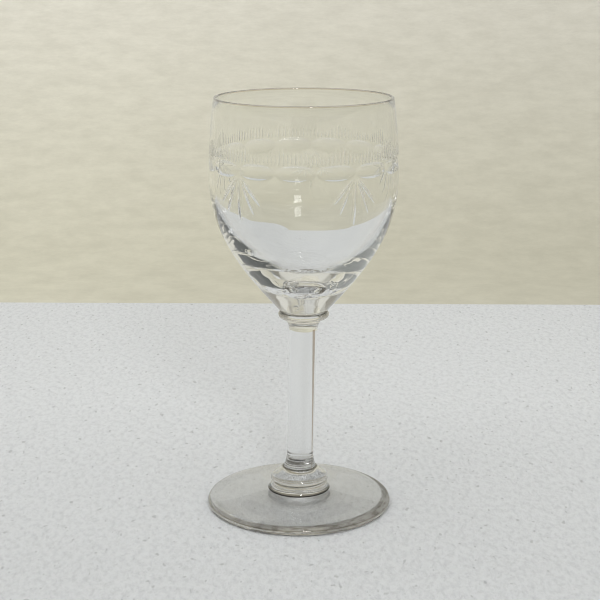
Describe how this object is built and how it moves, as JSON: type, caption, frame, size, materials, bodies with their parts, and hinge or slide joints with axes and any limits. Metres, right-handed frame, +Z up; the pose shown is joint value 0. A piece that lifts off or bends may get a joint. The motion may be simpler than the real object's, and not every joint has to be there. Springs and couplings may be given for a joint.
{
  "type": "wine glass",
  "caption": "Stemmed wine glass with a thick-based ovoid bowl, wheel-cut band, collar, solid round stem, cushion button and disc foot.",
  "frame": {"origin": "centre of the foot's flat underside", "axes": "+Z up the glass; +X towards the side that the stem leans to; the foot's axis is Z, and the bowl's axis is parallel to it, 1.7 mm along +X"},
  "size_m": [0.0681, 0.0668, 0.1484],
  "materials": {
    "glass_bowl": "clear, fire-polished, wheel-cut outside",
    "glass_stem": "clear, fire-polished",
    "glass_foot": "clear with a faint grey cast, lightly worn underneath"
  },
  "bodies": {
    "root": {"bowl": "glass_bowl", "merese": "glass_stem", "stem": "glass_stem", "knop": "glass_stem", "foot": "glass_foot"}
  },
  "joints": []
}
